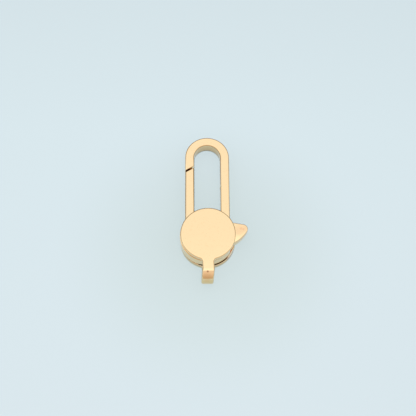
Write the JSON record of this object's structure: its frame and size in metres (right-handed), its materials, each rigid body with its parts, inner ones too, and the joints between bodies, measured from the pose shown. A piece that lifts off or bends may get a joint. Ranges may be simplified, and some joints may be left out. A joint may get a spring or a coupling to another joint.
{
  "type": "lobster clasp",
  "caption": "Lobster clasp with a folded round case and bail, a cast hook and a sprung thumb lever that opens the hook's mouth.",
  "frame": {"origin": "centre of the round case on its back face, which the clasp lies on", "axes": "+Y from the case's centre towards the top of the hook, +Z out of the front face, +X towards the thumb tab"},
  "size_m": [0.0108, 0.0253, 0.0037],
  "materials": {
    "case_gold": "polished, gold plated",
    "hook_gold": "polished, gold plated",
    "lever_gold": "polished, gold plated",
    "pin_steel": "plain turned"
  },
  "bodies": {
    "body": {"case": "case_gold", "hook": "hook_gold", "pivot_pin": "pin_steel"},
    "lever": {"lever": "lever_gold"}
  },
  "joints": [
    {"name": "lever_turn", "type": "hinge", "parent": "body", "child": "lever", "pos_m": [0, 0, 0.00185], "axis": [0, 0, -1], "range_deg": [0, 18], "stiffness_Nm_per_rad": 0.012, "springref_deg": -14.32}
  ]
}
